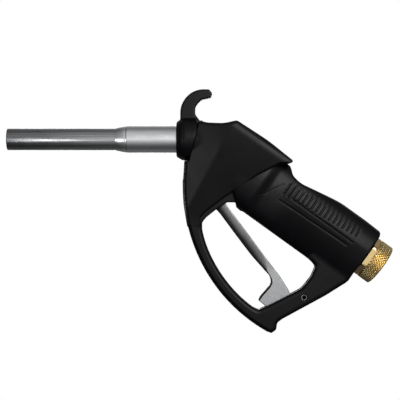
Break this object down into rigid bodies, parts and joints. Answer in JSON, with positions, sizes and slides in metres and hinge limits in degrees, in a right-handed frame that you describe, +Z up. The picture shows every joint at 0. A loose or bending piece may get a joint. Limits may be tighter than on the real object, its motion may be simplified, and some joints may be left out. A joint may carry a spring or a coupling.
{
  "type": "fuel nozzle",
  "caption": "Dispensing nozzle with a straight metal spout, moulded pistol grip and closed trigger guard, squeeze lever, hanging hook and knurled swivel hose inlet.",
  "frame": {"origin": "on the spout axis, at the front face of the hook collar, on the mid-plane between the two housing halves", "axes": "-X along the spout towards its tip, +Z up with the spout level, XZ the mid-plane; the inlet leaves down and back at 36 degrees"},
  "size_m": [0.3731, 0.0534, 0.2356],
  "materials": {
    "spout_aluminium": "extruded, satin with lengthwise streaks",
    "cast_aluminium": "cast and tumbled, satin",
    "black_moulding": "fine grained black moulding",
    "brass": "turned brass",
    "zinc_steel": "zinc plated",
    "black_rubber": "nitrile rubber"
  },
  "bodies": {
    "body": {"spout_tube": "spout_aluminium", "spout_sleeve": "spout_aluminium", "spout_o_ring": "black_rubber", "spout_set_screw": "zinc_steel", "hook_collar": "black_moulding", "housing_left": "black_moulding", "housing_right": "black_moulding", "housing_screws": "zinc_steel", "valve_body": "cast_aluminium", "valve_seat": "brass", "valve_spring": "zinc_steel", "valve_cap": "brass", "cap_o_ring": "black_rubber", "gland_nut": "brass", "stem_packing": "black_rubber", "lever_pivot_pin": "zinc_steel", "lever_spring": "zinc_steel", "lock_spring": "zinc_steel", "inlet_adapter": "brass", "adapter_o_ring": "black_rubber", "inlet_washer": "black_rubber", "inlet_strainer": "zinc_steel"},
    "lever": {"lever": "cast_aluminium"},
    "valve": {"poppet": "brass", "poppet_seal": "black_rubber", "valve_stem": "zinc_steel"},
    "lock": {"lock_button": "zinc_steel"},
    "swivel": {"swivel_collar": "brass"}
  },
  "joints": [
    {"name": "lever_squeeze", "type": "hinge", "parent": "body", "child": "lever", "pos_m": [0.035, 0, -0.055], "axis": [0, -1, 0], "range_deg": [0, 15], "stiffness_Nm_per_rad": 4, "springref_deg": -17.19, "deforming": ["lever_spring"]},
    {"name": "valve_lift", "type": "slide", "parent": "body", "child": "valve", "axis": [0.5878, 0, 0.809], "range_m": [0, 0.0038], "stiffness_N_per_m": 400, "springref_m": -0.004, "deforming": ["valve_spring"]},
    {"name": "hold_open_press", "type": "slide", "parent": "body", "child": "lock", "axis": [0, 1, 0], "range_m": [0, 0.003], "stiffness_N_per_m": 400, "springref_m": -0.002, "deforming": ["lock_spring"]},
    {"name": "hose_swivel", "type": "hinge", "parent": "body", "child": "swivel", "pos_m": [0.19665, 0, -0.1225], "axis": [0.809, 0, -0.5878], "continuous": true}
  ],
  "couplings": [
    {"joint": "valve_lift", "follows": "lever_squeeze", "m_per_rad": 0.0141}
  ]
}
